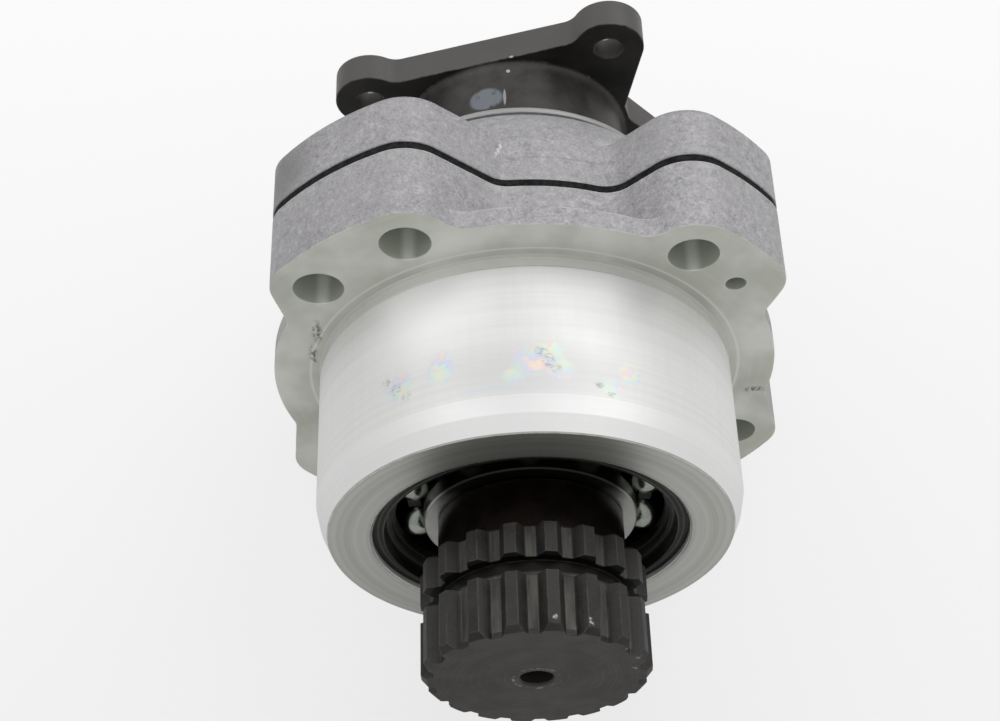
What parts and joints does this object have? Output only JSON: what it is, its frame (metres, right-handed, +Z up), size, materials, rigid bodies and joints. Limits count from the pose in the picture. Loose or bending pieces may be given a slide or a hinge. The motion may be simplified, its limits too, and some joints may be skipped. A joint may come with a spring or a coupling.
{
  "type": "power take off unit",
  "caption": "Flange-mounted power take off: ball-bearing splined input shaft in a piloting nose, cast case with cover, and an eared output flange behind.",
  "frame": {"origin": "centre of the mounting face on the shaft's axis", "axes": "+Y along the shaft from the nose to the output flange, +Z up, +X to the right"},
  "size_m": [0.1452, 0.1895, 0.146],
  "materials": {
    "cast_case": "satin",
    "gasket": "matte",
    "dark_steel": "satin",
    "bearing_steel": "satin",
    "ball_steel": "gloss",
    "cage": "matte",
    "black_steel": "satin"
  },
  "bodies": {
    "case": {"front_housing": "cast_case", "cover_gasket": "gasket", "rear_cover": "cast_case", "front_bearing_outer_ring": "bearing_steel", "front_circlip": "dark_steel", "rear_bearing_outer_ring": "bearing_steel", "seal_case": "gasket", "seal_lip": "gasket", "seal_spring": "bearing_steel", "cover_screws": "bearing_steel", "screw_washers": "bearing_steel"},
    "shaft": {"input_shaft": "dark_steel", "front_bearing_inner_ring": "bearing_steel", "spacer_sleeve": "bearing_steel", "rear_bearing_inner_ring": "bearing_steel", "output_flange": "black_steel", "hub_o_ring": "gasket", "flange_washer": "bearing_steel", "flange_nut": "bearing_steel"},
    "front_cage": {"front_bearing_cage": "cage", "front_bearing_balls": "ball_steel"},
    "rear_cage": {"rear_bearing_cage": "cage", "rear_bearing_balls": "ball_steel"}
  },
  "joints": [
    {"name": "shaft_spin", "type": "hinge", "parent": "case", "child": "shaft", "pos_m": [0, 0, 0], "axis": [0, 1, 0], "continuous": true},
    {"name": "front_cage_spin", "type": "hinge", "parent": "case", "child": "front_cage", "pos_m": [0, -0.0373, 0], "axis": [0, 1, 0], "continuous": true},
    {"name": "rear_cage_spin", "type": "hinge", "parent": "case", "child": "rear_cage", "pos_m": [0, 0.043, 0], "axis": [0, 1, 0], "continuous": true}
  ],
  "couplings": [
    {"joint": "front_cage_spin", "follows": "shaft_spin", "ratio": 0.4023},
    {"joint": "rear_cage_spin", "follows": "shaft_spin", "ratio": 0.4008}
  ]
}
